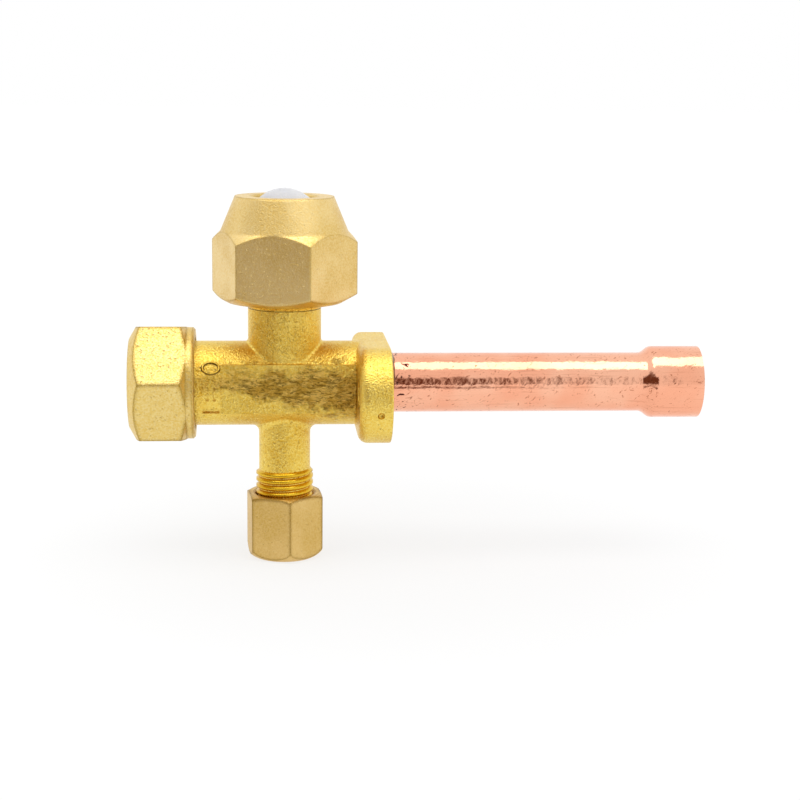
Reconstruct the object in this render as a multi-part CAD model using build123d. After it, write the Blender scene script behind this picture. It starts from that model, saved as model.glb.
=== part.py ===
from build123d import *
import math
import os

# Refrigerant service valve: a forged brass body with a flare connection on top, a capped stem on
# the left, a capped charging port below and a mounting flange with a brazed copper stub on the
# right.
#
# Frame, in millimetres: the origin is the centre of the flange's bracket face, on the stub's
# axis. +X runs along the stub, away from the body. +Z runs up the flare connection.

# ---- fits ------------------------------------------------------------------------------------
THREAD_GAP = 0.05            # radial room between a male thread and its female thread
SEAT_GAP = 0.03              # room between two faces that seat on each other

# ---- forged body -----------------------------------------------------------------------------
BARREL_RADIUS = 6.72         # round barrel that runs along the stub's axis
PORT_X = -16.4               # axis shared by the flare connection and the charging port
BODY_END_X = -38.9           # stem end of the barrel
FLARE_BLEND = 0.5            # forged fillets where the two ports leave the barrel
SERVICE_BLEND = 1.2
TRIM_LAND_Y = 6.25           # flat where the forging's flash was sheared off, on both sides
TRIM_LAND_TOP = 3.9
TRIM_LAND_BOTTOM = -3.8
TRIM_LAND_END_X = -26.5

FLANGE_THICKNESS = 5.15
FLANGE_RADIUS = 7.5          # round ends of the flange
FLANGE_FLAT = 15.4           # straight length between the round ends
FLANGE_DROP = 0.6            # the flange's outline sits this far below the stub's axis
FLANGE_EDGE = 1.5            # forged rounding on the body side of the flange
FLANGE_FACE_EDGE = 0.3
BOLT_PITCH = 21.6
BOLT_HOLE_RADIUS = 2.3
DIMPLE_RADIUS = 0.55         # punch mark on the rim of the near ear
DIMPLE_DOWN = 15.0           # degrees below the near ear's nose
DIMPLE_X = -1.9

# ---- stub tube -------------------------------------------------------------------------------
TUBE_RADIUS = 4.76           # 3/8 inch tube
TUBE_WALL = 1.0
TUBE_SOCKET_DEPTH = 7.0      # how far the stub enters the body
TUBE_END_X = 50.6
SOCKET_BORE = 4.85           # expanded end, takes another 3/8 inch tube
SOCKET_LENGTH = 7.4
SOCKET_TAPER = 2.4           # length of the expansion cone
SOCKET_WALL = 0.95
BRAZE_GAP = 0.05             # radial room for the stub in the body
BRAZE_LEG = 0.8              # chamfer at the socket's mouth, and the filler's reach on the stub

# ---- stem and its bore -----------------------------------------------------------------------
STEM_RADIUS = 4.4            # threaded and sealing part of the stem
PASSAGE_RADIUS = 3.3         # way from the valve seat into the stub
PASSAGE_LENGTH = 2.3
STEM_TIP_REACH = 0.5         # how far the shut stem's tip enters the passage
STEM_NOSE_RADIUS = 4.2
STEM_NOSE_LENGTH = 2.6
STEM_NECK_RADIUS = 2.5
STEM_NECK_LENGTH = 9.0
STEM_THREAD_LENGTH = 4.5
STEM_LAND = 0.7              # metal between the thread and the O-ring groove
GROOVE_DEPTH = 1.25
GROOVE_WIDTH = 1.7
STEM_HEAD = 3.5              # metal outside the O-ring groove
STEM_TRAVEL = 5.0            # from shut to fully open
KEY_FLATS = 5.0              # hexagon socket
KEY_DEPTH = 3.3
RING_THICKNESS = 0.8         # retaining ring
RING_GROOVE_RADIUS = 5.25
RING_INNER_RADIUS = 3.7
RING_OPENING = 60.0          # degrees left open

# ---- stem cap --------------------------------------------------------------------------------
STEM_CAP_FLATS = 17.85
STEM_CAP_LENGTH = 10.35
STEM_CAP_WALL = 1.15          # blind end
STEM_CAP_COLLAR = 1.3        # round washer face at the open end
STEM_CAP_TURN = -8.3        # degrees about the stub's axis that lift the near corner
STEM_CAP_END_RADIUS = 7.2
STEM_THREAD_RADIUS = 7.0
STEM_THREAD_REACH = 6.6      # male thread on the body's stem end
MOUTH_DEPTH = 1.2            # plain counterbore ahead of the cap's thread
MOUTH_ROOM = 0.4
GASKET_THICKNESS = 0.8
BEVEL = 30.0                 # degrees of the turned bevel on hexagon corners

# ---- flare connection ------------------------------------------------------------------------
FLARE_NECK_RADIUS = 5.8
FLARE_THREAD_RADIUS = 7.94   # 5/8 inch thread
FLARE_THREAD_START = 13.9
FLARE_CONE_START = 20.4      # where the 45 degree flare cone leaves the thread
FLARE_CONE_RADIUS = 7.0
FLARE_TOP_RADIUS = 3.9
FLARE_BORE = 3.4
FLARE_NUT_FLATS = 20.15
FLARE_NUT_BOTTOM = 13.2
FLARE_NUT_BOTTOM_RADIUS = 9.2
FLARE_NUT_SHOULDER = 24.3    # where the nose cone starts
FLARE_NUT_TOP = 29.75
FLARE_NUT_TOP_RADIUS = 7.8
FLARE_NUT_BORE = 5.1
FLARE_NUT_TURN = 19.1        # degrees that a corner is turned from facing -Y
LIP = 0.3                    # small turned chamfers

# ---- plastic plug under the flare nut --------------------------------------------------------
PLUG_SKIRT = 0.9             # skirt pressed on the flare cone
PLUG_SKIRT_RADIUS = 6.8
PLUG_RADIUS = 4.55
PLUG_WALL = 0.8
PLUG_SHOULDER = 28.8         # where the dome starts
PLUG_TOP = 31.0

# ---- charging port ---------------------------------------------------------------------------
SERVICE_NECK_RADIUS = 4.1
SERVICE_THREAD_RADIUS = 4.6
SERVICE_END = -26.2
SERVICE_PASSAGE_RADIUS = 1.5
CORE_BORE = 2.65             # takes the valve core
CORE_BORE_DEPTH = 12.2
SERVICE_CAP_TOP = -17.9
SERVICE_CAP_FLATS = 11.4
SERVICE_CAP_WALL = 1.2
SERVICE_CAP_FOOT_RADIUS = 5.0
SERVICE_CAP_FOOT_HEIGHT = 2.9   # height of the rounded foot
SERVICE_CAP_TOP_RADIUS = 5.75
SERVICE_CAP_TURN = 7.0       # degrees that a corner is turned from facing -Y
SERVICE_SEAL = 0.9           # rubber disc in the cap

# ---- valve core ------------------------------------------------------------------------------
CORE_RECESS = 0.8            # the core's head above the port's end
CORE_HEAD_LENGTH = 3.4
CORE_BARREL_RADIUS = 1.95
CORE_BARREL_BORE = 1.55
CORE_BARREL_LENGTH = 4.8
CORE_END_WALL = 0.6
CORE_SEAL_LENGTH = 1.5
CORE_SEAL_PLACE = 1.6        # from the head to the seal
PIN_RADIUS = 0.55
PIN_ROOM = 0.1
PIN_PROUD = 0.4              # the pin's tip below the core's head
PIN_TRAVEL = 1.5
PIN_COLLAR_RADIUS = 1.35
PIN_COLLAR = 0.5
CORE_WASHER = 0.5
CORE_CUP = 0.5
CORE_CUP_RADIUS = 1.6
SPRING_WIRE = 0.32
SPRING_RADIUS = 1.12
SPRING_TURNS = 5

# ---- values that follow ----------------------------------------------------------------------
SOCKET_WAY = TUBE_RADIUS + BRAZE_GAP
STEM_BORE = STEM_RADIUS + THREAD_GAP
SEAT_X = -TUBE_SOCKET_DEPTH - PASSAGE_LENGTH                # small end of the valve seat
STEM_TIP_X = SEAT_X + STEM_TIP_REACH - 2 * SEAT_GAP
STEM_TIP_RADIUS = PASSAGE_RADIUS - STEM_TIP_REACH
STEM_NECK_X = STEM_TIP_X - STEM_NOSE_LENGTH
STEM_THREAD_X = STEM_NECK_X - STEM_NECK_LENGTH
GROOVE_X = STEM_THREAD_X - STEM_THREAD_LENGTH - STEM_LAND
STEM_HEAD_X = GROOVE_X - GROOVE_WIDTH - STEM_HEAD
GROOVE_RADIUS = STEM_RADIUS - GROOVE_DEPTH
RING_X = STEM_HEAD_X - STEM_TRAVEL - SEAT_GAP               # inner face of the retaining ring
CAP_FLOOR_X = BODY_END_X - GASKET_THICKNESS - 2 * SEAT_GAP
STEM_CAP_END_X = CAP_FLOOR_X - STEM_CAP_WALL
STEM_CAP_MOUTH_X = STEM_CAP_END_X + STEM_CAP_LENGTH
SERVICE_FLOOR = SERVICE_END - SERVICE_SEAL - 2 * SEAT_GAP
SERVICE_CAP_BOTTOM = SERVICE_FLOOR - SERVICE_CAP_WALL
CORE_HEAD_BOTTOM = SERVICE_END + CORE_RECESS
CORE_HEAD_TOP = CORE_HEAD_BOTTOM + CORE_HEAD_LENGTH
CORE_TOP = CORE_HEAD_TOP + CORE_BARREL_LENGTH
CORE_RADIUS = CORE_BORE - THREAD_GAP
PIN_HOLE = PIN_RADIUS + PIN_ROOM
PIN_COLLAR_TOP = CORE_HEAD_TOP + PIN_COLLAR + SEAT_GAP
SPRING_CEILING = CORE_TOP - CORE_END_WALL
EAR_Y = BOLT_PITCH / 2


def bevel_rise(outer, inner):
    """How far along the axis a turned bevel reaches between two radii."""
    return (outer - inner) * math.tan(math.radians(BEVEL))


def corner_radius(flats):
    return flats / 2 / math.cos(math.radians(30))


def on_stub(points):
    """A solid of revolution about the stub's axis, from (x, radius) points."""
    outline = Polyline(*[(x, 0, r) for x, r in points], close=True)
    return revolve(make_face(outline), Axis.X, 360)


def on_port(points):
    """A solid of revolution about the ports' upright axis, from (radius, z) points."""
    outline = Polyline(*[(r, 0, z) for r, z in points], close=True)
    return Pos(PORT_X, 0, 0) * revolve(make_face(outline), Axis.Z, 360)


def rod_on_stub(radius, start, end):
    return on_stub([(start, 0), (start, radius), (end, radius), (end, 0)])


def rod_on_port(radius, bottom, top):
    return on_port([(0, bottom), (radius, bottom), (radius, top), (0, top)])


def ring_on_port(inner, outer, bottom, top):
    return on_port([(inner, bottom), (outer, bottom), (outer, top), (inner, top)])


def hex_bar(flats, length, turn):
    """An upright hexagonal bar that stands on z = 0. At turn 0 a corner points along -Y."""
    section = RegularPolygon(flats / 2, 6, major_radius=False, rotation=30)
    return extrude(Rot(0, 0, turn) * section, length)


def hex_bar_on_stub(flats, start, length, turn):
    return Pos(start, 0, 0) * Rot(turn, 0, 0) * Rot(0, 90, 0) * hex_bar(flats, length, 0)


def hex_bar_on_port(flats, bottom, length, turn):
    return Pos(PORT_X, 0, bottom) * hex_bar(flats, length, turn)


# ---- forged body -----------------------------------------------------------------------------
def flange_blank():
    """A flange with round ends, rounded on the body side and nearly sharp on the bracket face."""
    outline = Pos(0, -FLANGE_DROP) * SlotCenterToCenter(FLANGE_FLAT, 2 * FLANGE_RADIUS)
    blank = extrude(Plane.YZ * outline, -FLANGE_THICKNESS)
    body_side, bracket_side = blank.faces().sort_by(Axis.X)[0], blank.faces().sort_by(Axis.X)[-1]
    blank = fillet(body_side.edges(), FLANGE_EDGE)
    bracket_side = blank.faces().sort_by(Axis.X)[-1]
    return fillet(bracket_side.edges(), FLANGE_FACE_EDGE)


def flare_fitting():
    """The upright neck with its male flare thread and 45 degree flare cone."""
    cone_top = FLARE_CONE_START + FLARE_CONE_RADIUS - FLARE_TOP_RADIUS
    return on_port(
        [
            (0, 0),
            (FLARE_NECK_RADIUS, 0),
            (FLARE_NECK_RADIUS, FLARE_THREAD_START - LIP),
            (FLARE_THREAD_RADIUS - LIP, FLARE_THREAD_START),
            (FLARE_THREAD_RADIUS, FLARE_THREAD_START + LIP),
            (FLARE_THREAD_RADIUS, FLARE_CONE_START - LIP),
            (FLARE_CONE_RADIUS, FLARE_CONE_START),
            (FLARE_TOP_RADIUS, cone_top),
            (0, cone_top),
        ]
    )


def trim_block(half_width):
    """A block along the barrel, over the length where the forging's flash was sheared."""
    length = -FLANGE_THICKNESS - TRIM_LAND_END_X
    height = TRIM_LAND_TOP - TRIM_LAND_BOTTOM
    middle_z = (TRIM_LAND_TOP + TRIM_LAND_BOTTOM) / 2
    return Pos(TRIM_LAND_END_X + length / 2, 0, middle_z) * Box(length, 2 * half_width, height)


def trimmed_barrel():
    """The barrel with a flat sheared land on both sides, a little proud at its edges."""
    barrel = rod_on_stub(BARREL_RADIUS, BODY_END_X, -FLANGE_THICKNESS / 2)
    beyond = trim_block(2 * BARREL_RADIUS) - trim_block(TRIM_LAND_Y)
    return barrel + trim_block(TRIM_LAND_Y) - beyond


def outside():
    barrel = trimmed_barrel()
    flare = flare_fitting()
    with_flare = barrel + flare
    with_flare = fillet(new_edges(barrel, flare, combined=with_flare), FLARE_BLEND)
    port = rod_on_port(SERVICE_NECK_RADIUS, SERVICE_END, 0)
    with_port = with_flare + port
    with_port = fillet(new_edges(with_flare, port, combined=with_port), SERVICE_BLEND)
    thread = on_stub(
        [
            (BODY_END_X, 0),
            (BODY_END_X, STEM_THREAD_RADIUS - LIP),
            (BODY_END_X + LIP, STEM_THREAD_RADIUS),
            (BODY_END_X + STEM_THREAD_REACH, STEM_THREAD_RADIUS),
            (BODY_END_X + STEM_THREAD_REACH + LIP, BARREL_RADIUS),
            (BODY_END_X + STEM_THREAD_REACH + LIP, 0),
        ]
    )
    return with_port + thread + flange_blank()


def stem_way():
    """Everything bored from the stem end: ring groove, stem bore, seat, passage, stub socket."""
    bore = on_stub(
        [
            (BODY_END_X - 1, 0),
            (BODY_END_X - 1, STEM_BORE + LIP),
            (BODY_END_X, STEM_BORE + LIP),
            (BODY_END_X + LIP, STEM_BORE),
            (SEAT_X - (STEM_BORE - PASSAGE_RADIUS), STEM_BORE),
            (SEAT_X, PASSAGE_RADIUS),
            (-TUBE_SOCKET_DEPTH, PASSAGE_RADIUS),
            (-TUBE_SOCKET_DEPTH, SOCKET_WAY),
            (-BRAZE_LEG, SOCKET_WAY),
            (0, SOCKET_WAY + BRAZE_LEG),
            (1, SOCKET_WAY + BRAZE_LEG),
            (1, 0),
        ]
    )
    groove_room = RING_X - RING_THICKNESS - SEAT_GAP
    return bore + rod_on_stub(RING_GROOVE_RADIUS, groove_room, RING_X + SEAT_GAP)


def port_ways():
    flare_bore = rod_on_port(FLARE_BORE, 0, FLARE_NUT_TOP)
    charging = rod_on_port(SERVICE_PASSAGE_RADIUS, SERVICE_END, 0)
    core_bore = rod_on_port(CORE_BORE, SERVICE_END - 1, SERVICE_END + CORE_BORE_DEPTH)
    return flare_bore + charging + core_bore


def bolt_holes():
    hole = rod_on_stub(BOLT_HOLE_RADIUS, -FLANGE_THICKNESS - 1, 1)
    return [Pos(0, side * EAR_Y, 0) * hole for side in (-1, 1)]


def punch_mark():
    """A shallow dimple on the near ear's rim, below its nose."""
    down = math.radians(DIMPLE_DOWN)
    rim_y = -FLANGE_FLAT / 2 - FLANGE_RADIUS * math.cos(down)
    rim_z = -FLANGE_DROP - FLANGE_RADIUS * math.sin(down)
    return Pos(DIMPLE_X, rim_y, rim_z) * Sphere(DIMPLE_RADIUS)


def valve_body():
    solid = outside() - stem_way() - port_ways()
    for hole in bolt_holes():
        solid = solid - hole
    return solid - punch_mark()


# ---- stub tube -------------------------------------------------------------------------------
def stub_tube():
    """A drawn tube whose free end is expanded into a socket for the next tube."""
    inside = TUBE_RADIUS - TUBE_WALL
    socket_x = TUBE_END_X - SOCKET_LENGTH
    socket_outside = SOCKET_BORE + SOCKET_WALL
    start_x = -TUBE_SOCKET_DEPTH + SEAT_GAP
    half_taper = SOCKET_TAPER / 2
    outer = [
        Line((start_x, 0, TUBE_RADIUS), (socket_x - SOCKET_TAPER, 0, TUBE_RADIUS)),
        Spline(
            (socket_x - SOCKET_TAPER, 0, TUBE_RADIUS),
            (socket_x - half_taper, 0, (TUBE_RADIUS + socket_outside) / 2),
            (socket_x, 0, socket_outside),
            tangents=((1, 0, 0), (1, 0, 0)),
        ),
        Line((socket_x, 0, socket_outside), (TUBE_END_X, 0, socket_outside)),
    ]
    inner = [
        Line((TUBE_END_X, 0, SOCKET_BORE), (socket_x, 0, SOCKET_BORE)),
        Spline(
            (socket_x, 0, SOCKET_BORE),
            (socket_x - half_taper, 0, (inside + SOCKET_BORE) / 2),
            (socket_x - SOCKET_TAPER, 0, inside),
            tangents=((-1, 0, 0), (-1, 0, 0)),
        ),
        Line((socket_x - SOCKET_TAPER, 0, inside), (start_x, 0, inside)),
    ]
    ends = [
        Line((TUBE_END_X, 0, socket_outside), (TUBE_END_X, 0, SOCKET_BORE)),
        Line((start_x, 0, inside), (start_x, 0, TUBE_RADIUS)),
    ]
    outline = Wire([*outer, ends[0], *inner, ends[1]])
    return revolve(make_face(outline), Axis.X, 360)


def braze_fillet():
    """The filler metal: it fills the socket's chamfered mouth and runs out on the stub."""
    inner = TUBE_RADIUS + SEAT_GAP / 2
    along_cone = SEAT_GAP * math.sqrt(2)
    root = (inner - SOCKET_WAY - BRAZE_LEG + along_cone, 0, inner)
    brim = (0, 0, SOCKET_WAY + BRAZE_LEG - along_cone)
    toe = (BRAZE_LEG, 0, inner)
    dip = BRAZE_LEG * (1 - math.cos(math.radians(45)))
    outline = Wire(
        [
            Line(root, brim),
            ThreePointArc(brim, (dip, 0, inner + dip), toe),
            Line(toe, root),
        ]
    )
    return revolve(make_face(outline), Axis.X, 360)


# ---- stem ------------------------------------------------------------------------------------
def stem():
    """Turned brass stem: seat cone, neck across the ports, thread, O-ring groove, hex socket."""
    cone_end = STEM_TIP_X - (STEM_NOSE_RADIUS - STEM_TIP_RADIUS)
    groove_end = GROOVE_X - GROOVE_WIDTH
    body = on_stub(
        [
            (STEM_TIP_X, 0),
            (STEM_TIP_X, STEM_TIP_RADIUS),
            (cone_end, STEM_NOSE_RADIUS),
            (STEM_NECK_X, STEM_NOSE_RADIUS),
            (STEM_NECK_X, STEM_NECK_RADIUS),
            (STEM_THREAD_X, STEM_NECK_RADIUS),
            (STEM_THREAD_X, STEM_RADIUS),
            (GROOVE_X, STEM_RADIUS),
            (GROOVE_X, GROOVE_RADIUS),
            (groove_end, GROOVE_RADIUS),
            (groove_end, STEM_RADIUS),
            (STEM_HEAD_X + LIP, STEM_RADIUS),
            (STEM_HEAD_X, STEM_RADIUS - LIP),
            (STEM_HEAD_X, 0),
        ]
    )
    key = hex_bar_on_stub(KEY_FLATS, STEM_HEAD_X, KEY_DEPTH, 0)
    return body - key


def stem_o_ring():
    section = (STEM_BORE - GROOVE_RADIUS - 2 * SEAT_GAP) / 2
    middle = (STEM_BORE + GROOVE_RADIUS) / 2
    circle = Plane.XZ * Pos(GROOVE_X - GROOVE_WIDTH / 2, middle) * Circle(section)
    return revolve(circle, Axis.X, 360)


def retaining_ring():
    """An open spring ring in its groove ahead of the stem. Its gap points down."""
    outer = RING_GROOVE_RADIUS - SEAT_GAP
    section = Plane.XZ * Pos(RING_X - RING_THICKNESS / 2, (outer + RING_INNER_RADIUS) / 2)
    face = section * Rectangle(RING_THICKNESS, outer - RING_INNER_RADIUS)
    arc = revolve(face, Axis.X, 360 - RING_OPENING)
    return Rot(180 + RING_OPENING / 2, 0, 0) * arc


def stem_cap():
    """Blind hexagon cap with a round washer face at its open end."""
    corner = corner_radius(STEM_CAP_FLATS) + LIP
    collar = STEM_CAP_FLATS / 2 - THREAD_GAP
    collar_x = STEM_CAP_MOUTH_X - STEM_CAP_COLLAR
    outline = on_stub(
        [
            (STEM_CAP_END_X, 0),
            (STEM_CAP_END_X, STEM_CAP_END_RADIUS),
            (STEM_CAP_END_X + bevel_rise(corner, STEM_CAP_END_RADIUS), corner),
            (collar_x - bevel_rise(corner, collar), corner),
            (collar_x, collar),
            (STEM_CAP_MOUTH_X - LIP, collar),
            (STEM_CAP_MOUTH_X, collar - LIP),
            (STEM_CAP_MOUTH_X, 0),
        ]
    )
    bar = hex_bar_on_stub(STEM_CAP_FLATS, STEM_CAP_END_X, STEM_CAP_LENGTH, STEM_CAP_TURN)
    inside = on_stub(
        [
            (CAP_FLOOR_X, 0),
            (CAP_FLOOR_X, STEM_THREAD_RADIUS + THREAD_GAP),
            (STEM_CAP_MOUTH_X - MOUTH_DEPTH, STEM_THREAD_RADIUS + THREAD_GAP),
            (STEM_CAP_MOUTH_X - MOUTH_DEPTH + MOUTH_ROOM, STEM_THREAD_RADIUS + MOUTH_ROOM),
            (STEM_CAP_MOUTH_X, STEM_THREAD_RADIUS + MOUTH_ROOM),
            (STEM_CAP_MOUTH_X, 0),
        ]
    )
    return (outline & bar) - inside


def stem_cap_gasket():
    outer = STEM_THREAD_RADIUS - THREAD_GAP
    end_x = BODY_END_X - SEAT_GAP
    start_x = end_x - GASKET_THICKNESS
    return on_stub([(start_x, STEM_BORE), (start_x, outer), (end_x, outer), (end_x, STEM_BORE)])


# ---- flare connection ------------------------------------------------------------------------
def flare_cone(radius, above):
    """Height of a 45 degree surface that lies above the body's flare cone by a normal distance."""
    return FLARE_CONE_START + FLARE_CONE_RADIUS - radius + above * math.sqrt(2)


def flare_nut():
    corner = corner_radius(FLARE_NUT_FLATS) + LIP
    waist = FLARE_NUT_FLATS / 2
    outline = on_port(
        [
            (0, FLARE_NUT_BOTTOM),
            (FLARE_NUT_BOTTOM_RADIUS, FLARE_NUT_BOTTOM),
            (corner, FLARE_NUT_BOTTOM + bevel_rise(corner, FLARE_NUT_BOTTOM_RADIUS)),
            (corner, FLARE_NUT_SHOULDER - (corner - waist)),
            (waist, FLARE_NUT_SHOULDER),
            (FLARE_NUT_TOP_RADIUS, FLARE_NUT_TOP),
            (0, FLARE_NUT_TOP),
        ]
    )
    height = FLARE_NUT_TOP - FLARE_NUT_BOTTOM
    bar = hex_bar_on_port(FLARE_NUT_FLATS, FLARE_NUT_BOTTOM, height, FLARE_NUT_TURN)
    thread = FLARE_THREAD_RADIUS + THREAD_GAP
    clamp = PLUG_SKIRT + 2 * SEAT_GAP
    inside = on_port(
        [
            (0, FLARE_NUT_BOTTOM),
            (thread + LIP, FLARE_NUT_BOTTOM),
            (thread, FLARE_NUT_BOTTOM + LIP),
            (thread, flare_cone(thread, clamp)),
            (FLARE_NUT_BORE, flare_cone(FLARE_NUT_BORE, clamp)),
            (FLARE_NUT_BORE, FLARE_NUT_TOP - LIP),
            (FLARE_NUT_BORE + LIP, FLARE_NUT_TOP),
            (0, FLARE_NUT_TOP),
        ]
    )
    return (outline & bar) - inside


def plug_dome(radius, shoulder, top):
    """The upper part of a round plug: a spherical cap on a shoulder."""
    rise = top - shoulder
    sphere = (radius**2 + rise**2) / (2 * rise)
    half = math.asin(radius / sphere) / 2
    middle = (sphere * math.sin(half), top - sphere * (1 - math.cos(half)))
    return (radius, shoulder), middle, (0, top)


def flare_plug():
    """Moulded plug: a skirt pressed on the flare cone and a hollow domed stem in the nut's hole."""
    inner = PLUG_RADIUS - PLUG_WALL
    low, middle, top = plug_dome(PLUG_RADIUS, PLUG_SHOULDER, PLUG_TOP)
    low_in, middle_in, top_in = plug_dome(inner, PLUG_SHOULDER - PLUG_WALL, PLUG_TOP - PLUG_WALL)
    skirt_under = (PLUG_SKIRT_RADIUS, flare_cone(PLUG_SKIRT_RADIUS, SEAT_GAP))
    skirt_top = (PLUG_SKIRT_RADIUS, flare_cone(PLUG_SKIRT_RADIUS, SEAT_GAP + PLUG_SKIRT))
    stem_foot = (PLUG_RADIUS, flare_cone(PLUG_RADIUS, SEAT_GAP + PLUG_SKIRT))
    bore_foot = (inner, flare_cone(inner, SEAT_GAP))

    def at(point):
        return (point[0], 0, point[1])

    outline = Wire(
        [
            Line(at(skirt_under), at(skirt_top)),
            Line(at(skirt_top), at(stem_foot)),
            Line(at(stem_foot), at(low)),
            ThreePointArc(at(low), at(middle), at(top)),
            Line(at(top), at(top_in)),
            ThreePointArc(at(top_in), at(middle_in), at(low_in)),
            Line(at(low_in), at(bore_foot)),
            Line(at(bore_foot), at(skirt_under)),
        ]
    )
    return Pos(PORT_X, 0, 0) * revolve(make_face(outline), Axis.Z, 360)


# ---- charging port ---------------------------------------------------------------------------
def service_cap():
    corner = corner_radius(SERVICE_CAP_FLATS) + LIP
    thread = SERVICE_THREAD_RADIUS + THREAD_GAP
    foot = (SERVICE_CAP_FOOT_RADIUS, 0, SERVICE_CAP_BOTTOM)
    waist = (corner, 0, SERVICE_CAP_BOTTOM + SERVICE_CAP_FOOT_HEIGHT)
    bevel = (corner, 0, SERVICE_CAP_TOP - bevel_rise(corner, SERVICE_CAP_TOP_RADIUS))
    profile = Wire(
        [
            Line((0, 0, SERVICE_CAP_BOTTOM), foot),
            TangentArc(waist, foot, tangent=(0, 0, -1)),
            Line(waist, bevel),
            Line(bevel, (SERVICE_CAP_TOP_RADIUS, 0, SERVICE_CAP_TOP)),
            Line((SERVICE_CAP_TOP_RADIUS, 0, SERVICE_CAP_TOP), (0, 0, SERVICE_CAP_TOP)),
            Line((0, 0, SERVICE_CAP_TOP), (0, 0, SERVICE_CAP_BOTTOM)),
        ]
    )
    outline = Pos(PORT_X, 0, 0) * revolve(make_face(profile), Axis.Z, 360)
    height = SERVICE_CAP_TOP - SERVICE_CAP_BOTTOM
    bar = hex_bar_on_port(SERVICE_CAP_FLATS, SERVICE_CAP_BOTTOM, height, SERVICE_CAP_TURN)
    inside = on_port(
        [
            (0, SERVICE_FLOOR),
            (thread, SERVICE_FLOOR),
            (thread, SERVICE_CAP_TOP - LIP),
            (thread + LIP, SERVICE_CAP_TOP),
            (0, SERVICE_CAP_TOP),
        ]
    )
    return (outline & bar) - inside


def service_cap_seal():
    return rod_on_port(SERVICE_THREAD_RADIUS, SERVICE_FLOOR + SEAT_GAP, SERVICE_END - SEAT_GAP)


# ---- valve core ------------------------------------------------------------------------------
def core_head():
    """Threaded head of the valve core. The pin's tip stands out below it."""
    return ring_on_port(PIN_HOLE, CORE_RADIUS, CORE_HEAD_BOTTOM, CORE_HEAD_TOP - SEAT_GAP)


def core_barrel():
    return on_port(
        [
            (CORE_BARREL_BORE, CORE_HEAD_TOP),
            (CORE_BARREL_RADIUS, CORE_HEAD_TOP),
            (CORE_BARREL_RADIUS, CORE_TOP),
            (PIN_HOLE, CORE_TOP),
            (PIN_HOLE, SPRING_CEILING),
            (CORE_BARREL_BORE, SPRING_CEILING),
        ]
    )


def core_barrel_seal():
    inner = CORE_BARREL_RADIUS + SEAT_GAP
    bottom = CORE_HEAD_TOP + CORE_SEAL_PLACE
    return ring_on_port(inner, CORE_BORE - SEAT_GAP, bottom, bottom + CORE_SEAL_LENGTH)


def core_pin():
    tip = CORE_HEAD_BOTTOM - PIN_PROUD
    end = CORE_TOP + CORE_WASHER + CORE_CUP + SEAT_GAP
    collar = rod_on_port(PIN_COLLAR_RADIUS, PIN_COLLAR_TOP - PIN_COLLAR, PIN_COLLAR_TOP)
    return rod_on_port(PIN_RADIUS, tip, end) + collar


def core_washer():
    bottom = CORE_TOP + SEAT_GAP
    return ring_on_port(PIN_RADIUS + SEAT_GAP, CORE_CUP_RADIUS, bottom, bottom + CORE_WASHER)


def core_cup():
    bottom = CORE_TOP + CORE_WASHER + 2 * SEAT_GAP
    return ring_on_port(PIN_RADIUS + SEAT_GAP, CORE_CUP_RADIUS, bottom, bottom + CORE_CUP)


def core_spring():
    """Coil spring that holds the pin out, between the pin's collar and the barrel's end wall."""
    room = SPRING_CEILING - PIN_COLLAR_TOP - SPRING_WIRE - 2 * SEAT_GAP
    path = Helix(room / SPRING_TURNS, room, SPRING_RADIUS)
    wire = Plane(path @ 0, z_dir=path % 0) * Circle(SPRING_WIRE / 2)
    coil = sweep(wire, path=path, is_frenet=True)
    return Pos(PORT_X, 0, PIN_COLLAR_TOP + SPRING_WIRE / 2 + SEAT_GAP) * coil


PIECES = [
    valve_body,
    stub_tube,
    braze_fillet,
    stem,
    stem_o_ring,
    retaining_ring,
    stem_cap,
    stem_cap_gasket,
    flare_nut,
    flare_plug,
    service_cap,
    service_cap_seal,
    core_head,
    core_barrel,
    core_barrel_seal,
    core_pin,
    core_washer,
    core_cup,
    core_spring,
]

os.makedirs("parts", exist_ok=True)
for piece in PIECES:
    solid = piece()
    export_step(solid, f"parts/{piece.__name__}.step")
    print(f"{piece.__name__}: {len(solid.solids())} solid, {solid.volume:.1f} mm3")
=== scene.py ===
import math

import bmesh
import bpy
from mathutils import Matrix, Vector


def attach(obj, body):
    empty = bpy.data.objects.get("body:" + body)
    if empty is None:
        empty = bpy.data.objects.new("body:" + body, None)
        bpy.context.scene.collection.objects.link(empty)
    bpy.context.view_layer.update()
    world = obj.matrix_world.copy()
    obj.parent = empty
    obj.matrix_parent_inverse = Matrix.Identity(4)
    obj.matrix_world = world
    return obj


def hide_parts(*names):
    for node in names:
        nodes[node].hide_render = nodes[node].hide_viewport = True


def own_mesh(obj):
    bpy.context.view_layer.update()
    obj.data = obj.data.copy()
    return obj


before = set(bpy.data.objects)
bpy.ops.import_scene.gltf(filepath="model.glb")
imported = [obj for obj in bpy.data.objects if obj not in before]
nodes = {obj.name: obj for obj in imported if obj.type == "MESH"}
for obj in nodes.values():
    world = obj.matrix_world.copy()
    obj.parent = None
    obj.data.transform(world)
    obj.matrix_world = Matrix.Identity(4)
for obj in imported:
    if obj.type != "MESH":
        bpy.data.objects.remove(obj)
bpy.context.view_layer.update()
mm = 0.001
portX = -16.4  # upright axis of both ports
print("frame loaded:", len(nodes), "nodes")


# colours are written as they look on a screen, 0 to 255
def screenColour(red, green, blue):
    def linear(value):
        value /= 255
        return value / 12.92 if value <= 0.04045 else ((value + 0.055) / 1.055) ** 2.4

    return (linear(red), linear(green), linear(blue), 1.0)


# shader helpers

def addNode(tree, kind, **settings):
    node = tree.nodes.new(kind)
    for name, value in settings.items():
        setattr(node, name, value)
    return node


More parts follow.
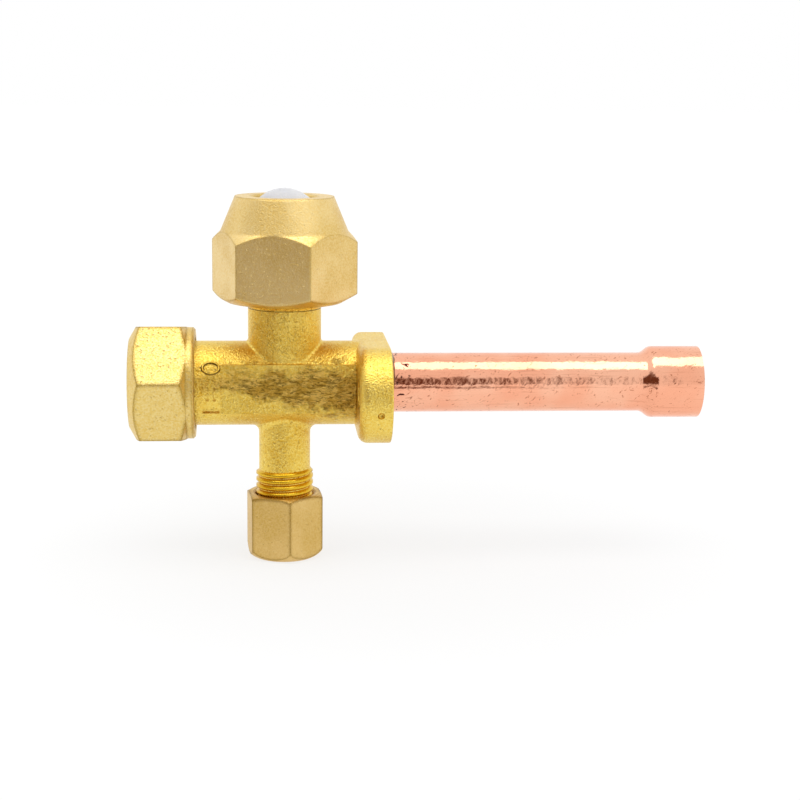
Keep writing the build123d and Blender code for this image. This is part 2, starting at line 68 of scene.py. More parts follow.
def setInputs(node, **values):
    for name, value in values.items():
        node.inputs[name.replace("_", " ")].default_value = value
    return node


# a number is set on the socket, anything else is linked to it
def feed(tree, value, socket):
    if isinstance(value, (int, float)):
        socket.default_value = value
    else:
        tree.links.new(value, socket)


def newGroup(name, inputs, outputs):
    tree = bpy.data.node_groups.new(name, "ShaderNodeTree")
    for socketName, value in inputs.items():
        socket = tree.interface.new_socket(socketName, in_out="INPUT",
                                           socket_type="NodeSocketFloat")
        socket.default_value = value
    for socketName in outputs:
        tree.interface.new_socket(socketName, in_out="OUTPUT", socket_type="NodeSocketFloat")
    return tree, addNode(tree, "NodeGroupInput").outputs, addNode(tree, "NodeGroupOutput").inputs


def objectPlace(tree):
    return addNode(tree, "ShaderNodeTexCoord").outputs["Object"]


def splitAxes(tree, vector):
    split = addNode(tree, "ShaderNodeSeparateXYZ")
    tree.links.new(vector, split.inputs[0])
    return [split.outputs[axis] for axis in "XYZ"]


def noiseIn(tree, vector, scale, detail, roughness=0.55, distortion=0.0):
    noise = addNode(tree, "ShaderNodeTexNoise")
    setInputs(noise, Detail=detail, Roughness=roughness)
    tree.links.new(vector, noise.inputs["Vector"])
    feed(tree, scale, noise.inputs["Scale"])
    feed(tree, distortion, noise.inputs["Distortion"])
    return noise.outputs["Fac"]


def maths(tree, operation, first, second=None, clamp=False):
    node = addNode(tree, "ShaderNodeMath", operation=operation, use_clamp=clamp)
    feed(tree, first, node.inputs[0])
    if second is not None:
        feed(tree, second, node.inputs[1])
    return node.outputs[0]


def product(tree, first, *others):
    for other in others:
        first = maths(tree, "MULTIPLY", first, other)
    return first


def ramp(tree, value, low, high, outLow=0.0, outHigh=1.0):
    node = addNode(tree, "ShaderNodeMapRange", interpolation_type="SMOOTHSTEP")
    setInputs(node, To_Min=outLow, To_Max=outHigh)
    tree.links.new(value, node.inputs["Value"])
    feed(tree, low, node.inputs["From Min"])
    feed(tree, high, node.inputs["From Max"])
    return node.outputs["Result"]


# blasted skin: fine sparkle, small pits, and soft tone patches
skinMarks = {
    "pits": (0.62, 0.72), "patches": (0.35, 0.68), "grain": (0.3, 0.7), "pitSink": 0.8,
}


def buildSkinGroup():
    tree, given, out = newGroup(
        "blastedSkin",
        {"Grain Scale": 6000.0, "Pit Scale": 2600.0, "Patch Scale": 220.0},
        ["Grain", "Pits", "Patches", "Height"],
    )
    place = objectPlace(tree)
    grain = noiseIn(tree, place, given["Grain Scale"], 2.0, 0.6)
    pits = ramp(tree, noiseIn(tree, place, given["Pit Scale"], 3.0, 0.6), *skinMarks["pits"])
    patches = ramp(tree, noiseIn(tree, place, given["Patch Scale"], 2.0, 0.5),
                   *skinMarks["patches"])
    height = maths(tree, "SUBTRACT", grain, product(tree, pits, skinMarks["pitSink"]))
    tree.links.new(ramp(tree, grain, *skinMarks["grain"]), out["Grain"])
    tree.links.new(pits, out["Pits"])
    tree.links.new(patches, out["Patches"])
    tree.links.new(height, out["Height"])
    return tree


# a soft box mask between limits along X and Z, in metres
zoneWobble = {"scale": 700.0, "detail": 4.0, "middle": 0.5}


def buildZoneGroup():
    tree, given, out = newGroup(
        "softZone",
        {"X Low": -1.0, "X High": 1.0, "Z Low": -1.0, "Z High": 1.0,
         "Lean": 0.0, "Soft": 0.001, "Ragged": 0.0},
        ["Mask"],
    )
    place = objectPlace(tree)
    across, _, up = splitAxes(tree, place)
    noise = noiseIn(tree, place, zoneWobble["scale"], zoneWobble["detail"])
    wobble = product(tree, maths(tree, "SUBTRACT", noise, zoneWobble["middle"]), given["Ragged"])
    leaned = maths(tree, "ADD", up, product(tree, across, given["Lean"]))
    masks = []
    for axis, low, high in ((across, "X Low", "X High"), (leaned, "Z Low", "Z High")):
        along = maths(tree, "ADD", axis, wobble)
        rise = maths(tree, "SUBTRACT", along, given[low])
        fall = maths(tree, "SUBTRACT", given[high], along)
        masks.append(product(tree, *(maths(tree, "DIVIDE", edge, given["Soft"], True)
                                     for edge in (rise, fall))))
    tree.links.new(product(tree, *masks), out["Mask"])
    return tree


# drawn-out streaks and crumbs, as on sheared or dragged metal
def buildStreakGroup():
    tree, given, out = newGroup(
        "dragMarks",
        {"Scale": 900.0, "Stretch X": 0.3, "Stretch Y": 1.0, "Stretch Z": 1.0, "Tilt": 0.0,
         "Twist": 1.5, "Low": 0.5, "High": 0.62},
        ["Streaks", "Height"],
    )
    turned = addNode(tree, "ShaderNodeVectorRotate", rotation_type="Y_AXIS")
    tree.links.new(objectPlace(tree), turned.inputs["Vector"])
    tree.links.new(given["Tilt"], turned.inputs["Angle"])
    stretch = addNode(tree, "ShaderNodeCombineXYZ")
    for axis in "XYZ":
        tree.links.new(given["Stretch " + axis], stretch.inputs[axis])
    drawn = addNode(tree, "ShaderNodeVectorMath", operation="MULTIPLY")
    tree.links.new(turned.outputs[0], drawn.inputs[0])
    tree.links.new(stretch.outputs[0], drawn.inputs[1])
    noise = noiseIn(tree, drawn.outputs[0], given["Scale"], 5.0, 0.62, given["Twist"])
    tree.links.new(ramp(tree, noise, given["Low"], given["High"]), out["Streaks"])
    tree.links.new(noise, out["Height"])
    return tree


skinGroup = buildSkinGroup()
zoneGroup = buildZoneGroup()
streakGroup = buildStreakGroup()
print("shader groups built")


def useGroup(tree, group, **values):
    node = addNode(tree, "ShaderNodeGroup", node_tree=group)
    return setInputs(node, **values).outputs


# limits, softness and raggedness come in millimetres; the lean is a slope
def zoneMask(tree, zone, lean=0.0):
    limits = {name: value * mm for name, value in zone.items()}
    return useGroup(tree, zoneGroup, Lean=lean, **limits)["Mask"]


# a colour is a socket, a screen colour of three parts or a linear one of four
def mixColour(tree, mask, first, second):
    node = addNode(tree, "ShaderNodeMix", data_type="RGBA")
    for name, value in (("A", first), ("B", second)):
        socket = [s for s in node.inputs if s.name == name and s.type == "RGBA"][0]
        if isinstance(value, tuple):
            socket.default_value = screenColour(*value) if len(value) == 3 else value
        else:
            tree.links.new(value, socket)
    tree.links.new(mask, node.inputs[0])
    return [s for s in node.outputs if s.type == "RGBA"][0]


def bumpFrom(tree, height, strength, distance, below=None):
    node = addNode(tree, "ShaderNodeBump")
    setInputs(node, Strength=strength, Distance=distance * mm)
    tree.links.new(height, node.inputs["Height"])
    if below is not None:
        tree.links.new(below, node.inputs["Normal"])
    return node.outputs["Normal"]


def startMaterial(name, metallic):
    material = bpy.data.materials.new(name)
    material.use_nodes = True
    tree = material.node_tree
    shader = setInputs(tree.nodes["Principled BSDF"], Metallic=metallic)
    return material, tree, shader


def finishMaterial(tree, shader, colour, rough, normal):
    tree.links.new(colour, shader.inputs["Base Color"])
    tree.links.new(rough, shader.inputs["Roughness"])
    tree.links.new(normal, shader.inputs["Normal"])


# corners are softened in shading and darkened with painted shade, a dark reflection painted into
# the colour
def softCornerShade(tree, radius):
    soft = addNode(tree, "ShaderNodeBevel", samples=6)
    setInputs(soft, Radius=radius * mm)
    turned = addNode(tree, "ShaderNodeVectorMath", operation="DOT_PRODUCT")
    tree.links.new(soft.outputs["Normal"], turned.inputs[0])
    tree.links.new(addNode(tree, "ShaderNodeNewGeometry").outputs["Normal"], turned.inputs[1])
    return soft.outputs["Normal"], ramp(tree, turned.outputs["Value"], 0.995, 0.9)


# metal with the blasted skin; every brass finish starts from it
def blastedMetal(name, look):
    material, tree, shader = startMaterial(name, 1.0)
    skin = useGroup(tree, skinGroup, Grain_Scale=look["grain"], Pit_Scale=look["pits"],
                    Patch_Scale=look["patches"])
    colour = mixColour(tree, skin["Patches"], look["colour"], look["shade"])
    # lighter grains: partly the skin's grain tone, partly painted glints
    colour = mixColour(tree, product(tree, skin["Grain"], look["sparkle"]), colour,
                       look["light"])
    colour = mixColour(tree, product(tree, skin["Pits"], look["pitDepth"]), colour,
                       look["pitColour"])
    rough = ramp(tree, skin["Grain"], 0.0, 1.0, look["rough"] + look["roughSpread"],
                 look["rough"] - look["roughSpread"])
    rounded = None
    if look["edge"]:
        rounded, cornerShade = softCornerShade(tree, look["edge"])
        # painted shade: the softened corners are darkened in colour, standing in for the dark room
        # they mirror
        colour = mixColour(tree, product(tree, cornerShade, look["edgeShadeDepth"]), colour,
                           look["edgeShadeColour"])
    normal = bumpFrom(tree, skin["Height"], look["bump"], look["bumpDepth"], rounded)
    return material, tree, shader, colour, rough, normal


def plainMetal(name, look):
    material, *rest = blastedMetal(name, look)
    finishMaterial(*rest)
    return material


# each look's edge colour is painted shade on its corners
capLook = {
    "colour": (240, 208, 116), "shade": (235, 198, 100), "light": (248, 230, 172),
    "pitColour": (160, 122, 44), "grain": 3400.0, "pits": 2400.0, "patches": 160.0,
    "sparkle": 0.5, "pitDepth": 0.2, "rough": 0.4, "roughSpread": 0.06, "bump": 1.0,
    "bumpDepth": 0.08, "edge": 1.0, "edgeShadeDepth": 0.85, "edgeShadeColour": (170, 134, 44),
}
nutLook = dict(capLook, colour=(240, 208, 134), shade=(228, 192, 108), light=(252, 234, 180),
               grain=3600.0, sparkle=0.35, rough=0.38, bumpDepth=0.045, edge=0.6, edgeShadeDepth=0.5)
serviceCapLook = dict(capLook, colour=(232, 196, 120), shade=(220, 182, 98),
                      light=(242, 214, 154), grain=3600.0, sparkle=0.3, rough=0.42,
                      bumpDepth=0.05, edge=0.9, edgeShadeColour=(146, 110, 32))
bodyLook = dict(capLook, colour=(244, 206, 86), shade=(234, 188, 60), light=(254, 236, 142),
                rough=0.33, bumpDepth=0.13, edge=0.0)
turnedLook = dict(capLook, colour=(232, 190, 50), shade=(220, 172, 30), light=(246, 214, 100),
                  rough=0.28, bump=0.15, sparkle=0.15, pitDepth=0.1, edge=0.0)
brazeLook = dict(capLook, colour=(150, 148, 142), shade=(120, 116, 110), light=(190, 188, 182),
                 pitColour=(70, 64, 60), rough=0.42, pits=1500.0, grain=1800.0)
steelLook = dict(capLook, colour=(170, 170, 172), shade=(150, 150, 152), light=(200, 200, 202),
                 pitColour=(90, 88, 86), rough=0.25, sparkle=0.15)


# the forging: blasted skin, a sheared olive band along the barrel, drag marks up the neck,
# and one clean turned land under the flare nut
band = {
    "box": {"X_Low": -60.0, "X_High": -1.0, "Z_Low": -5.2, "Z_High": 4.2, "Soft": 2.4,
            "Ragged": 7.0},
    "above": {"Z_Low": -7.2, "Soft": 1.6, "Ragged": 5.0}, "lean": 0.243,
    "before": {"X_High": -5.0, "Soft": 0.3},
    "fade": {"X_Low": -35.0, "Soft": 13.0, "Ragged": 12.0},
    "coarse": {"Scale": 760.0, "Stretch_X": 0.35, "Twist": 1.6, "Tilt": 0.16, "Low": 0.42,
               "High": 0.58},
    "fine": {"Scale": 3300.0, "Stretch_X": 0.32, "Twist": 0.9, "Tilt": -0.1, "Low": 0.45,
             "High": 0.62},
    "colour": (192, 150, 58), "light": (228, 190, 98), "dark": (84, 60, 6),
    "fineShare": 0.8, "cover": 0.92, "bump": 0.9, "bumpDepth": 0.3, "rougher": 0.16,
}
neck = {
    "box": {"X_Low": -21.5, "X_High": -11.5, "Z_Low": 3.4, "Z_High": 13.6, "Soft": 2.4,
            "Ragged": 6.0},
    "drags": {"Scale": 1500.0, "Stretch_X": 0.8, "Stretch_Z": 0.4, "Twist": 3.4, "Tilt": 0.35,
              "Low": 0.52, "High": 0.64},
    "dark": (142, 104, 24), "share": 0.5, "bump": 0.6, "bumpDepth": 0.3,
    "land": {"Z_Low": 12.3, "Soft": 0.1}, "landColour": (236, 184, 64), "smoother": 0.1,
    # the groove line is painted shade below the land
    "groove": {"Z_Low": 12.1, "Z_High": 12.3, "Soft": 0.06}, "grooveColour": (132, 94, 24),
}


def forgedBrass():
    material, tree, shader, colour, rough, normal = blastedMetal("forgedBrass", bodyLook)
    sheared = product(tree, zoneMask(tree, band["box"]),
                      zoneMask(tree, band["above"], band["lean"]),
                      zoneMask(tree, band["before"]), zoneMask(tree, band["fade"]))
    coarse = useGroup(tree, streakGroup, **band["coarse"])
    fine = useGroup(tree, streakGroup, **band["fine"])
    olive = mixColour(tree, coarse["Streaks"], band["light"], band["colour"])
    olive = mixColour(tree, product(tree, fine["Streaks"], band["fineShare"]), olive,
                      band["dark"])
    colour = mixColour(tree, product(tree, sheared, band["cover"]), colour, olive)
    cut = maths(tree, "ADD", fine["Height"], coarse["Height"])
    normal = bumpFrom(tree, product(tree, cut, sheared), band["bump"], band["bumpDepth"], normal)
    dragged = zoneMask(tree, neck["box"])
    drags = useGroup(tree, streakGroup, **neck["drags"])
    colour = mixColour(tree, product(tree, dragged, drags["Streaks"], neck["share"]), colour,
                       neck["dark"])
    normal = bumpFrom(tree, product(tree, drags["Height"], dragged), neck["bump"],
                      neck["bumpDepth"], normal)
    land = zoneMask(tree, neck["land"])
    colour = mixColour(tree, land, colour, neck["landColour"])
    # painted shade: a thin dark line below the turned land, where a groove's shade would fall
    colour = mixColour(tree, zoneMask(tree, neck["groove"]), colour, neck["grooveColour"])
    rough = maths(tree, "ADD", rough, product(tree, sheared, band["rougher"]))
    rough = maths(tree, "SUBTRACT", rough, product(tree, land, neck["smoother"]))
    finishMaterial(tree, shader, colour, rough, normal)
    return material


# drawn copper: bright, with draw lines along X, scattered nicks and oxide crumbs by the braze
copperLook = {
    "colour": (253, 190, 158), "warm": (250, 176, 142), "oxide": (84, 44, 38),
    "scratch": (166, 92, 56), "rough": 0.06, "roughSpread": 0.06, "oxideRough": 0.4,
    "skin": {"Grain_Scale": 1500.0, "Pit_Scale": 900.0, "Patch_Scale": 140.0},
    "draw": {"Scale": 2200.0, "Stretch_X": 0.06, "Twist": 0.2, "Low": 0.56, "High": 0.7},
    "nicks": {"Scale": 900.0, "Stretch_X": 0.7, "Stretch_Z": 1.5, "Tilt": 0.7, "Twist": 2.2,
              "Low": 0.61, "High": 0.65},
    "crumbs": {"Scale": 760.0, "Stretch_X": 0.8, "Twist": 1.4, "Low": 0.585, "High": 0.62},
    "heat": {"X_Low": -8.0, "X_High": 4.5, "Soft": 1.6, "Ragged": 3.0},
    "drawShare": 0.25, "nickShare": 0.7, "waveScale": 420.0,
    "waveBump": (0.6, 0.16), "skinBump": (0.12, 0.03), "nickBump": (0.25, 0.06),
}


def brightCopper():
    material, tree, shader = startMaterial("brightCopper", 1.0)
    skin = useGroup(tree, skinGroup, **copperLook["skin"])
    draw = useGroup(tree, streakGroup, **copperLook["draw"])
    nicks = useGroup(tree, streakGroup, **copperLook["nicks"])
    crumbs = useGroup(tree, streakGroup, **copperLook["crumbs"])
    waves = noiseIn(tree, objectPlace(tree), copperLook["waveScale"], 2.0)
    colour = mixColour(tree, skin["Patches"], copperLook["colour"], copperLook["warm"])
    for marks, share in ((draw, "drawShare"), (nicks, "nickShare")):
        colour = mixColour(tree, product(tree, marks["Streaks"], copperLook[share]), colour,
                           copperLook["scratch"])
    oxide = product(tree, zoneMask(tree, copperLook["heat"]), crumbs["Streaks"])
    colour = mixColour(tree, oxide, colour, copperLook["oxide"])
    rough = maths(tree, "ADD", product(tree, oxide, copperLook["oxideRough"]),
                  ramp(tree, skin["Grain"], 0.0, 1.0, copperLook["rough"],
                       copperLook["rough"] + copperLook["roughSpread"]))
    normal = bumpFrom(tree, waves, *copperLook["waveBump"])
    normal = bumpFrom(tree, skin["Height"], *copperLook["skinBump"], normal)
    normal = bumpFrom(tree, nicks["Height"], *copperLook["nickBump"], normal)
    finishMaterial(tree, shader, colour, rough, normal)
    return material


# moulded plastic and rubber: no metal, a faint skin
moulded = {
    "skin": {"Grain_Scale": 2500.0, "Pit_Scale": 1200.0, "Patch_Scale": 260.0},
    "roughSpread": 0.08, "bump": (0.1, 0.03), "scatter": (0.002, 0.002, 0.0018),
}


def mouldedPiece(name, colour, shade, roughness, subsurface=0.0):
    material, tree, shader = startMaterial(name, 0.0)
    if subsurface:
        setInputs(shader, Subsurface_Weight=subsurface, Subsurface_Radius=moulded["scatter"],
                  Subsurface_Scale=1.0)
    skin = useGroup(tree, skinGroup, **moulded["skin"])
    mixed = mixColour(tree, skin["Patches"], colour, shade)
    rough = ramp(tree, skin["Grain"], 0.0, 1.0, roughness, roughness + moulded["roughSpread"])
    normal = bumpFrom(tree, skin["Height"], *moulded["bump"])
    finishMaterial(tree, shader, mixed, rough, normal)
    return material


materials = {
    "forged": forgedBrass(),
    "cap": plainMetal("capBrass", capLook),
    "nut": plainMetal("nutBrass", nutLook),
    "serviceCap": plainMetal("serviceCapBrass", serviceCapLook),
    "turned": plainMetal("turnedBrass", turnedLook),
    "copper": brightCopper(),
    "braze": plainMetal("brazeSilver", brazeLook),
    "steel": plainMetal("springSteel", steelLook),
    "plug": mouldedPiece("plugPlastic", (240, 240, 242), (226, 227, 232), 0.3, 0.3),
    "corePlastic": mouldedPiece("corePlastic", (236, 236, 232), (224, 224, 220), 0.4),
    "gasket": mouldedPiece("gasketFibre", (96, 90, 84), (78, 72, 68), 0.7),
    "rubber": mouldedPiece("sealRubber", (36, 36, 36), (28, 28, 28), 0.6),
}
nodeFinish = {
    "valve_body": "forged", "stub_tube": "copper", "braze_fillet": "braze", "stem": "turned",
    "stem_o_ring": "rubber", "retaining_ring": "steel", "stem_cap": "cap",
    "stem_cap_gasket": "gasket", "flare_nut": "nut", "flare_plug": "plug",
    "service_cap": "serviceCap", "service_cap_seal": "rubber", "core_head": "turned",
    "core_barrel": "turned", "core_barrel_seal": "corePlastic", "core_pin": "turned",
    "core_washer": "corePlastic", "core_cup": "turned", "core_spring": "steel",
}
for nodeName, finish in nodeFinish.items():
    mesh = nodes[nodeName].data
    mesh.materials.clear()
    mesh.materials.append(materials[finish])
print("finishes assigned to", len(nodeFinish), "nodes")


def addObject(name, data):
    thing = bpy.data.objects.new(name, data)
    bpy.context.scene.collection.objects.link(thing)
    return thing


def meshFrom(name, shape):
    mesh = bpy.data.meshes.new(name)
    shape.to_mesh(mesh)
    shape.free()
    return mesh


def finishPiece(name, shape, material, body, smooth=True):
    bmesh.ops.recalc_face_normals(shape, faces=shape.faces)
    mesh = meshFrom(name, shape)
    for polygon in mesh.polygons:
        polygon.use_smooth = smooth
    piece = addObject(name, mesh)
    mesh.materials.append(materials[material])
    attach(piece, body)
    return piece


# a closed outline of points in millimetres, ready to be spun
def closedOutline(shape, points):
    verts = [shape.verts.new(Vector(point) * mm) for point in points]
    following = verts[1:] + verts[:1]
    return verts + [shape.edges.new(pair) for pair in zip(verts, following)]


def weld(shape, reach=0.001):
    bmesh.ops.remove_doubles(shape, verts=shape.verts, dist=reach * mm)


# valve core's spring: the solid's own coil, welded into a piece of its own
coreSpring = {"press": 1.5, "weld": 0.0005}


def buildCoreSpring():
    shape = bmesh.new()
    shape.from_mesh(nodes["core_spring"].data)
    weld(shape, coreSpring["weld"])
    piece = finishPiece("core_spring_coil", shape, "steel", "body")
    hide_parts("core_spring")
    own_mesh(piece)


buildCoreSpring()
print("core spring wound")


# charging port thread: one helical ridge that runs out at the top
thread = {
    "top": -14.1, "bottom": -26.0, "pitch": 1.06, "root": 4.12, "crest": 4.58, "sunk": 0.1,
    "crestWidth": 0.34, "footWidth": 0.94, "stepsPerTurn": 64, "rise": 0.4, "runOut": 0.6,
}


def buildServiceThread():
    turns = (thread["top"] - thread["bottom"]) / thread["pitch"]
    steps = round(turns * thread["stepsPerTurn"])
    shape = bmesh.new()
    foot, crest = thread["footWidth"] / 2, thread["crestWidth"] / 2
    inner = thread["root"] - thread["sunk"]
    outline = [(inner, foot), (thread["root"], foot), (thread["crest"], crest),
               (thread["crest"], -crest), (thread["root"], -foot), (inner, -foot)]
    bmesh.ops.spin(
        shape, geom=closedOutline(shape, [(portX + radius, 0, thread["top"] + height)
                                          for radius, height in outline]),
        cent=(portX * mm, 0, 0), axis=(0, 0, 1),
        dvec=(0, 0, -thread["pitch"] / thread["stepsPerTurn"] * mm),
        angle=-2 * math.pi * steps / thread["stepsPerTurn"], steps=steps, use_duplicate=False,
    )
    for vertex in shape.verts:  # the ridge grows out of the neck over the first part of a turn
        across = Vector((vertex.co.x - portX * mm, vertex.co.y, 0))
        sunk = thread["top"] - vertex.co.z / mm
        grown = min(1.0, max(0.0, (sunk + thread["rise"]) / thread["runOut"]))
        reach = inner + (across.length / mm - inner) * grown
        across = across.normalized() * reach * mm
        vertex.co.x, vertex.co.y = portX * mm + across.x, across.y
    bmesh.ops.holes_fill(shape, edges=[e for e in shape.edges if e.is_boundary], sides=8)
    finishPiece("service_thread", shape, "turned", "body")


buildServiceThread()
print("service thread cut")


# braze bead that stands out around the tube where it leaves the flange; the outline is X and
# radius, and each wave of lumps is a count, a phase and a share
bead = {
    "outline": [(-0.3, 4.7), (-0.3, 5.75), (0.2, 5.7), (0.5, 5.4), (0.8, 4.95), (0.95, 4.7)],
    "steps": 72, "lump": 0.11, "lumpFrom": 0.1, "lumpFull": 0.5,
    "waves": [(3, 0.6, 1.0), (7, 0.0, 0.6), (16, 0.0, 0.4)],
}


def buildBrazeBead():
    shape = bmesh.new()
    bmesh.ops.spin(shape, geom=closedOutline(shape, [(x, 0, r) for x, r in bead["outline"]]),
                   cent=(0, 0, 0), axis=(1, 0, 0), angle=2 * math.pi, steps=bead["steps"],
                   use_merge=True, use_duplicate=False)
    weld(shape)
    for vertex in shape.verts:  # the filler flowed unevenly
        x = vertex.co.x / mm
        if x > bead["lumpFrom"]:
            turn = math.atan2(vertex.co.z, vertex.co.y)
            lump = sum(share * math.sin(count * turn + phase)
                       for count, phase, share in bead["waves"])
            vertex.co.x += bead["lump"] * lump * min(1.0, x / bead["lumpFull"]) * mm
    finishPiece("braze_bead", shape, "braze", "body")


buildBrazeBead()
print("braze bead laid")


# direction mark on the barrel: an oval ring, a double arrow and a bar, raised from the forging
mark = {
    "x": -28.0, "barrel": 6.72, "height": 0.3, "slope": 0.26, "sunk": 0.05,
    "ringZ": 3.55, "ringRadius": 1.3, "ringSquash": 0.7, "ringSteps": 48, "line": 0.56,
    "crown": 0.6, "crownHeight": 0.75,
    "arrowTop": 1.8, "arrowBottom": -2.9, "head": 0.85, "headLength": 1.25, "shaft": 0.32,
    "barZ": -4.3, "barLength": 2.7, "barWidth": 0.84,
    # the foot colour is painted shade where the mark meets the barrel
    "foot": (118, 84, 16), "footShadeHeight": 0.55, "footShadeShare": 0.95,
}


# the forging's own skin, with painted shade at the foot where the mark meets the barrel
def markBrass():
    material, tree, shader, colour, rough, normal = blastedMetal("markBrass", bodyLook)
    _, y, z = splitAxes(tree, objectPlace(tree))
    square = maths(tree, "ADD", product(tree, y, y), product(tree, z, z))
    foot = ramp(tree, maths(tree, "SQRT", square), (mark["barrel"] + mark["height"]) * mm,
                (mark["barrel"] + mark["height"] * mark["footShadeHeight"]) * mm)
    # painted shade: darker at the foot of the raised mark
    colour = mixColour(tree, product(tree, foot, mark["footShadeShare"]), colour, mark["foot"])
    finishMaterial(tree, shader, colour, rough, normal)
    return material


materials["mark"] = markBrass()


def wrapOnBarrel(shape):
    for vertex in shape.verts:  # drawn flat in X and Z with its height along -Y
        turn = vertex.co.z / mm / mark["barrel"]
        radius = mark["barrel"] - vertex.co.y / mm
        vertex.co.y = -radius * math.cos(turn) * mm
        vertex.co.z = radius * math.sin(turn) * mm


def raiseOutline(shape, corners):
    face = shape.faces.new([shape.verts.new(Vector((x, mark["sunk"], z)) * mm)
                            for x, z in corners])
    bmesh.ops.duplicate(shape, geom=[face])  # closes the underside
    bmesh.ops.inset_region(shape, faces=[face], thickness=mark["slope"] * mm,
                           use_even_offset=True)
    bmesh.ops.translate(shape, verts=face.verts, vec=(0, -(mark["height"] + mark["sunk"]) * mm, 0))
    weld(shape, 0.0005)


def buildMarkRing():
    shape = bmesh.new()
    half, height = mark["line"] / 2, mark["height"]
    crown, crownHeight = half * mark["crown"], height * mark["crownHeight"]
    outline = [(-half, -mark["sunk"]), (-crown, crownHeight), (0, height),
               (crown, crownHeight), (half, -mark["sunk"])]
    bmesh.ops.spin(shape, geom=closedOutline(shape, [(mark["ringRadius"] + across, -lift, 0)
                                                     for across, lift in outline]),
                   cent=(0, 0, 0), axis=(0, 1, 0), angle=2 * math.pi, steps=mark["ringSteps"],
                   use_merge=True, use_duplicate=False)
    weld(shape)
    bmesh.ops.scale(shape, verts=shape.verts, vec=(1, 1, mark["ringSquash"]))
    bmesh.ops.translate(shape, verts=shape.verts, vec=(mark["x"] * mm, 0, mark["ringZ"] * mm))
    wrapOnBarrel(shape)
    finishPiece("mark_ring", shape, "mark", "body")


def buildMarkArrow():
    shape = bmesh.new()
    x, head, half = mark["x"], mark["head"], mark["shaft"]
    top, bottom = mark["arrowTop"], mark["arrowBottom"]
    neckTop, neckBottom = top - mark["headLength"], bottom + mark["headLength"]
    raiseOutline(shape, [(x, top), (x + head, neckTop), (x + half, neckTop),
                         (x + half, neckBottom), (x + head, neckBottom), (x, bottom),
                         (x - head, neckBottom), (x - half, neckBottom), (x - half, neckTop),
                         (x - head, neckTop)])
    bmesh.ops.triangulate(shape, faces=shape.faces)
    for _ in range(2):  # fine enough to follow the barrel
        bmesh.ops.subdivide_edges(shape, edges=shape.edges, cuts=1, use_grid_fill=True)
    wrapOnBarrel(shape)
    finishPiece("mark_arrow", shape, "mark", "body", False)


def buildMarkBar():
    shape = bmesh.new()
    x, z = mark["x"], mark["barZ"]
    long, tall = mark["barLength"] / 2, mark["barWidth"] / 2
    raiseOutline(shape, [(x - long, z - tall), (x + long, z - tall), (x + long, z + tall),
                         (x - long, z + tall)])
    wrapOnBarrel(shape)
    finishPiece("mark_bar", shape, "mark", "body", False)


buildMarkRing()
buildMarkArrow()
buildMarkBar()
print("direction mark raised")


# floor: white to the eye, with a soft shadow near the valve; in front it holds a painted dark
# reflection, a patch seen only by glossy rays, which bright metal mirrors
floor = {
    "z": -28.38, "half": 3.0, "white": 1.03, "matte": (0.94, 0.94, 0.94, 1.0),
    "shadowShare": 0.25, "shadowFrom": 90.0, "shadowFull": 36.0,
    "paintedDarkNear": (-100.0, -135.0), "paintedDarkFar": (-245.0, -215.0), "paintedDarkSide": (63.0, 18.0),
    # the card colour is the painted dark reflection
    "paintedDark": (0.15, 0.065, 0.035, 1.0),
}
white = (1.0, 1.0, 1.0, 1.0)


def rampInMm(tree, value, low, high):
    return ramp(tree, value, low * mm, high * mm)


def floorWhite():
    material = bpy.data.materials.new("floorWhite")
    material.use_nodes = True
    tree = material.node_tree
    tree.nodes.clear()
    glow = setInputs(addNode(tree, "ShaderNodeEmission"), Strength=floor["white"])
    matte = setInputs(addNode(tree, "ShaderNodeBsdfDiffuse"), Color=floor["matte"])
    path = addNode(tree, "ShaderNodeLightPath").outputs
    seen = maths(tree, "MAXIMUM", path["Is Camera Ray"], path["Is Glossy Ray"])
    seen = maths(tree, "MAXIMUM", seen, path["Is Transmission Ray"])
    place = objectPlace(tree)
    x, y, _ = splitAxes(tree, place)
    away = addNode(tree, "ShaderNodeVectorMath", operation="LENGTH")
    tree.links.new(place, away.inputs[0])
    near = rampInMm(tree, away.outputs["Value"], floor["shadowFrom"], floor["shadowFull"])
    share = maths(tree, "SUBTRACT", seen, product(tree, seen, near, floor["shadowShare"]))
    # painted dark reflection: a patch in front that only glossy rays see
    paintedDark = product(tree, rampInMm(tree, y, *floor["paintedDarkNear"]),
                   rampInMm(tree, y, *floor["paintedDarkFar"]), rampInMm(tree, x, *floor["paintedDarkSide"]),
                   path["Is Glossy Ray"])
    tree.links.new(mixColour(tree, paintedDark, white, floor["paintedDark"]), glow.inputs["Color"])
    mix = addNode(tree, "ShaderNodeMixShader")
    tree.links.new(share, mix.inputs[0])
    tree.links.new(matte.outputs[0], mix.inputs[1])
    tree.links.new(glow.outputs[0], mix.inputs[2])
    tree.links.new(mix.outputs[0], addNode(tree, "ShaderNodeOutputMaterial").inputs["Surface"])
    return material


def buildFloor():
    shape = bmesh.new()
    bmesh.ops.create_grid(shape, x_segments=1, y_segments=1, size=floor["half"])
    bmesh.ops.translate(shape, verts=shape.verts, vec=(0, 0, floor["z"] * mm))
    mesh = meshFrom("floor", shape)
    addObject("floor", mesh)
    mesh.materials.append(floorWhite())


# white room with a dark opening low in front, which bright metal mirrors; each pair is where
# a soft edge starts and where it is full, as parts of a unit direction
room = {
    "front": (0.1, -0.45), "low": (0.5, 0.4), "left": (0.215, 0.09), "under": (0.9, 0.8),
    "opening": (0.15, 0.065, 0.035, 1.0), "dull": 0.06, "diffuseShare": 0.66,
}


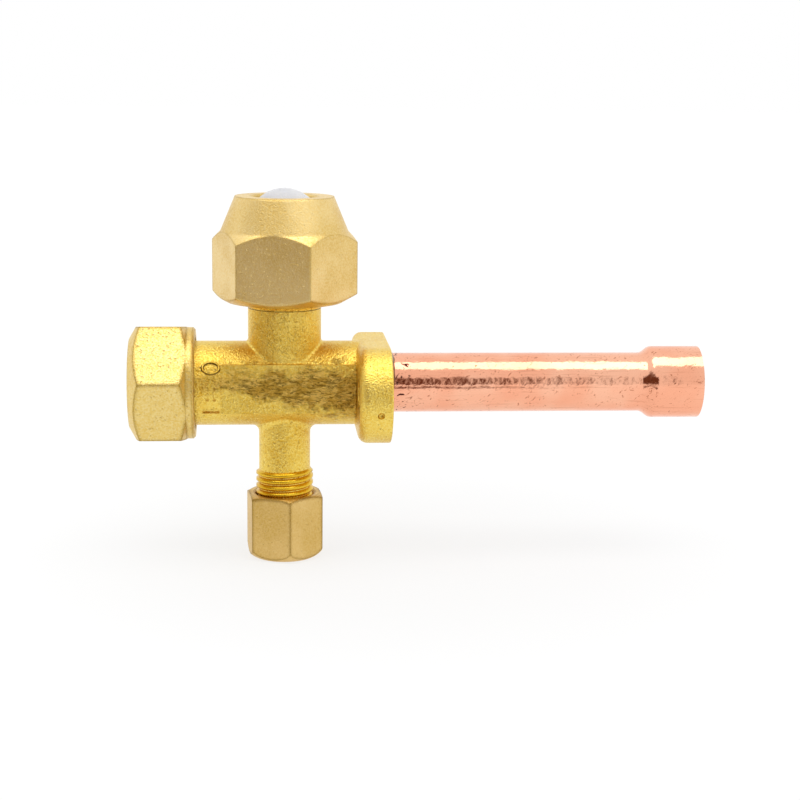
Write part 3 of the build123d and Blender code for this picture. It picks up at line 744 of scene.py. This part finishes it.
def buildWorld():
    world = bpy.data.worlds.new("whiteRoom")
    bpy.context.scene.world = world
    world.use_nodes = True
    tree = world.node_tree
    tree.nodes.clear()
    across, along, up = splitAxes(tree, addNode(tree, "ShaderNodeTexCoord").outputs["Generated"])
    front = ramp(tree, along, *room["front"])
    opening = product(tree, front, ramp(tree, up, *room["low"]),
                      ramp(tree, across, *room["left"]))
    dull = product(tree, front, ramp(tree, up, *room["under"]), room["dull"])
    level = maths(tree, "SUBTRACT", 1.0, dull)
    path = addNode(tree, "ShaderNodeLightPath").outputs
    mirrored = maths(tree, "MAXIMUM", path["Is Glossy Ray"], path["Is Transmission Ray"])
    level = product(tree, level, ramp(tree, mirrored, 0.0, 1.0, room["diffuseShare"], 1.0))
    seen = path["Is Camera Ray"]
    tint = mixColour(tree, product(tree, opening, maths(tree, "SUBTRACT", 1.0, seen)), white,
                     room["opening"])
    background = addNode(tree, "ShaderNodeBackground")
    tree.links.new(tint, background.inputs["Color"])
    tree.links.new(maths(tree, "MAXIMUM", level, seen), background.inputs["Strength"])
    out = addNode(tree, "ShaderNodeOutputWorld")
    tree.links.new(background.outputs[0], out.inputs["Surface"])


# one long soft box above and a little in front
topBox = {
    "place": (0.0, -95.0, 420.0), "target": (0.0, -50.0, 0.0), "long": 620.0, "wide": 250.0,
    "power": 0.78,
}


def addSoftBox():
    light = bpy.data.lights.new("topBox", "AREA")
    light.shape = "RECTANGLE"
    light.size = topBox["long"] * mm
    light.size_y = topBox["wide"] * mm
    light.energy = topBox["power"]
    place, target = Vector(topBox["place"]) * mm, Vector(topBox["target"]) * mm
    lamp = addObject("topBox", light)
    lamp.location = place
    lamp.rotation_euler = (target - place).to_track_quat("-Z", "Y").to_euler()


buildFloor()
buildWorld()
addSoftBox()
print("studio set")


# camera: a long lens that looks a little down on the valve
view = {
    "azimuth": -4.866, "elevation": 11.06, "roll": 0.723, "distance": 273.8, "lens": 76.37,
    "sensor": 36.0, "clip": (0.01, 20.0), "aim": (2.173, 0, -2.925),
}


def buildCamera():
    azimuth, elevation, roll = (math.radians(view[name]) for name in
                                ("azimuth", "elevation", "roll"))
    forward = Vector((-math.sin(azimuth) * math.cos(elevation),
                      math.cos(azimuth) * math.cos(elevation), -math.sin(elevation)))
    right = forward.cross(Vector((0, 0, 1))).normalized()
    up = right.cross(forward)
    across = right * math.cos(roll) + up * math.sin(roll)
    upright = up * math.cos(roll) - right * math.sin(roll)
    camera = addObject("camera", bpy.data.cameras.new("camera"))
    place = (Vector(view["aim"]) - forward * view["distance"]) * mm
    turned = Matrix((across, upright, -forward)).transposed().to_4x4()
    camera.matrix_world = Matrix.Translation(place) @ turned
    camera.data.sensor_width = view["sensor"]
    camera.data.lens = view["lens"]
    camera.data.clip_start, camera.data.clip_end = view["clip"]
    bpy.context.scene.camera = camera


buildCamera()
bpy.context.scene.view_settings.view_transform = "Standard"
print("camera placed")
